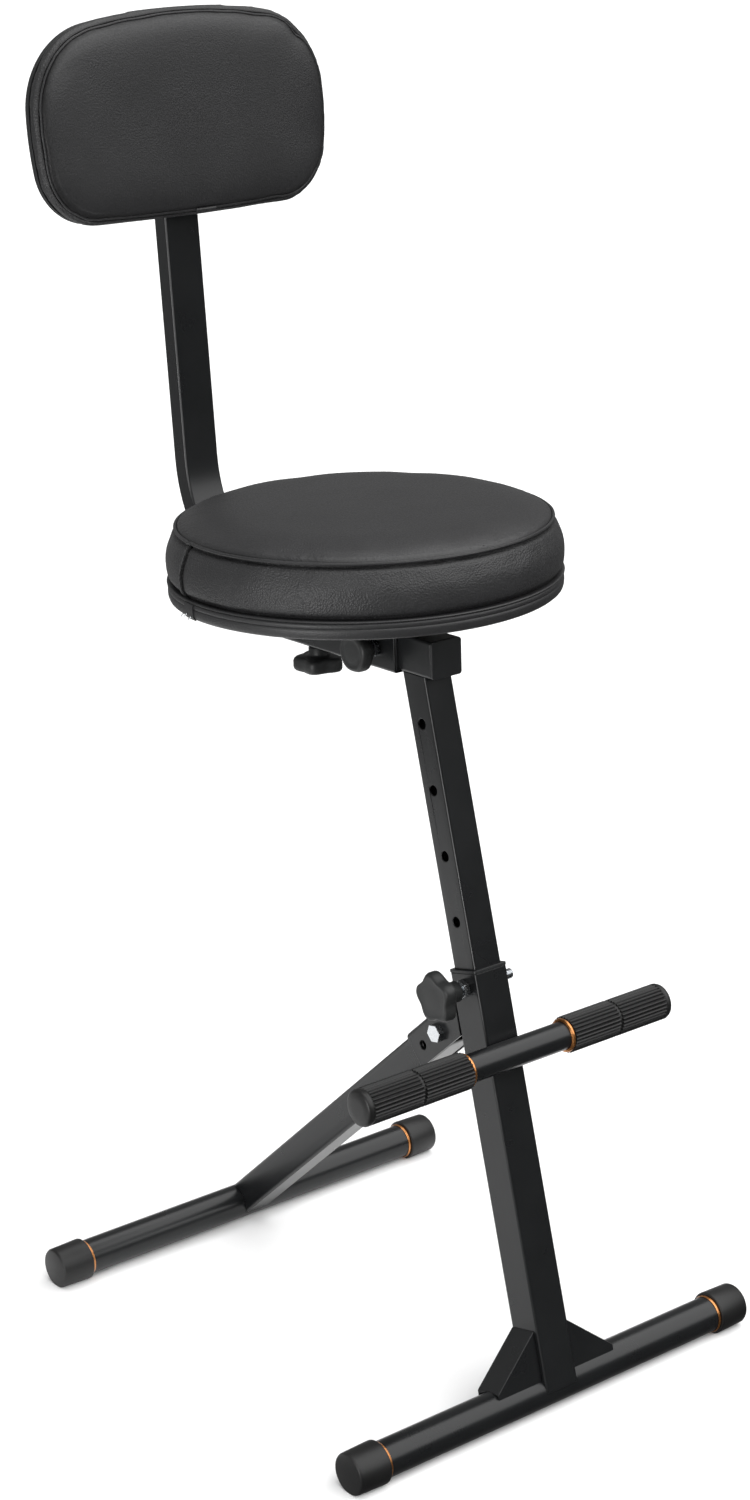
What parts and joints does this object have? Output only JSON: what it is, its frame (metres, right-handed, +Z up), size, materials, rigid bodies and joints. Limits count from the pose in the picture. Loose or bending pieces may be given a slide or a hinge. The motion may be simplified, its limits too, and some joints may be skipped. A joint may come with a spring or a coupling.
{
  "type": "guitar stool",
  "caption": "Folding musician's stool with a leaning telescopic post, rear leg, footrest, round padded seat, padded backrest on a bent bar and star knobs.",
  "frame": {"origin": "floor level, at the middle of the bounding box's base", "axes": "+Z up; the sitter faces -Y, so +Y is towards the backrest; -X is the sitter's right, the side with the knobs"},
  "size_m": [0.486, 0.6157, 1.2399],
  "materials": {
    "black_powder_coat": "black satin powder coat on steel tube",
    "black_rubber": "matt black rubber",
    "copper_ring": "copper-orange band",
    "plated_steel": "bright plated screws and nuts",
    "knob_plastic": "black moulded plastic",
    "black_plastic": "black moulded plastic",
    "plywood": "bare plywood",
    "leatherette": "black coated fabric with a fine leather grain, over foam"
  },
  "bodies": {
    "front_frame": {"front_foot_tube": "black_powder_coat", "front_caps": "black_rubber", "front_rings": "copper_ring", "lower_post": "black_powder_coat", "gusset_right": "black_powder_coat", "gusset_left": "black_powder_coat", "post_bushing": "black_plastic", "height_nut": "plated_steel", "far_nut": "plated_steel", "far_bolt_end": "plated_steel", "footrest_tube": "black_powder_coat", "footrest_grip_right": "black_rubber", "footrest_grip_left": "black_rubber", "footrest_rings": "copper_ring", "leg_bracket": "black_powder_coat", "pivot_bolt": "plated_steel", "pivot_locknut": "plated_steel"},
    "rear_leg": {"rear_leg_tube": "black_powder_coat", "rear_foot_tube": "black_powder_coat", "rear_caps": "black_rubber", "rear_rings": "copper_ring"},
    "seat_post": {"upper_post": "black_powder_coat", "post_glide": "black_plastic", "head_tube": "black_powder_coat", "head_plug": "black_plastic", "head_liner": "black_plastic"},
    "seat": {"receiver_tube": "black_powder_coat", "saddle_front": "black_powder_coat", "saddle_rear": "black_powder_coat", "side_nut": "plated_steel", "clamp_nut": "plated_steel", "seat_board": "plywood", "seat_trim": "leatherette", "seat_cushion": "leatherette", "seat_screws": "plated_steel"},
    "backrest": {"backrest_bar": "black_powder_coat", "bar_front_plug": "black_plastic", "bar_top_plug": "black_plastic", "backrest_board": "plywood", "backrest_cover": "black_plastic", "backrest_pad": "leatherette", "backrest_screws": "plated_steel"},
    "height_screw": {"height_stud": "plated_steel"},
    "height_knob": {"height_knob": "knob_plastic"},
    "side_screw": {"side_stud": "plated_steel"},
    "side_knob": {"side_knob": "knob_plastic"},
    "clamp_screw": {"clamp_stud": "plated_steel"},
    "clamp_knob": {"clamp_knob": "knob_plastic"}
  },
  "joints": [
    {"name": "leg_fold", "type": "hinge", "parent": "front_frame", "child": "rear_leg", "pos_m": [0, -0.14428, 0.33585], "axis": [1, 0, 0], "range_deg": [-62, 0]},
    {"name": "seat_height", "type": "slide", "parent": "front_frame", "child": "seat_post", "axis": [0, 0.274, 0.9617], "range_m": [-0.248, 0]},
    {"name": "seat_depth", "type": "slide", "parent": "seat_post", "child": "seat", "axis": [0, 0.9988, -0.0489], "range_m": [0, 0.02]},
    {"name": "backrest_depth", "type": "slide", "parent": "seat", "child": "backrest", "axis": [0, 0.9988, -0.0489], "range_m": [-0.012, 0.035]},
    {"name": "height_screw_travel", "type": "slide", "parent": "front_frame", "child": "height_screw", "axis": [1, 0, 0], "range_m": [0, 0.003]},
    {"name": "height_knob_turn", "type": "hinge", "parent": "height_screw", "child": "height_knob", "pos_m": [-0.045, -0.18176, 0.39373], "axis": [1, 0, 0], "range_deg": [0, 720]},
    {"name": "side_screw_travel", "type": "slide", "parent": "seat", "child": "side_screw", "axis": [1, 0, 0], "range_m": [-0.0045, 0]},
    {"name": "side_knob_turn", "type": "hinge", "parent": "side_screw", "child": "side_knob", "pos_m": [-0.04, -0.05313, 0.69171], "axis": [1, 0, 0], "range_deg": [-1080, 0]},
    {"name": "clamp_screw_travel", "type": "slide", "parent": "seat", "child": "clamp_screw", "axis": [0, 0.0489, 0.9988], "range_m": [-0.0045, 0]},
    {"name": "clamp_knob_turn", "type": "hinge", "parent": "clamp_screw", "child": "clamp_knob", "pos_m": [0, 0.0591, 0.65268], "axis": [0, 0.0489, 0.9988], "range_deg": [-1080, 0]}
  ],
  "couplings": [
    {"joint": "height_screw_travel", "follows": "height_knob_turn", "m_per_rad": 0.00023873},
    {"joint": "side_screw_travel", "follows": "side_knob_turn", "m_per_rad": 0.00023873},
    {"joint": "clamp_screw_travel", "follows": "clamp_knob_turn", "m_per_rad": 0.00023873}
  ]
}
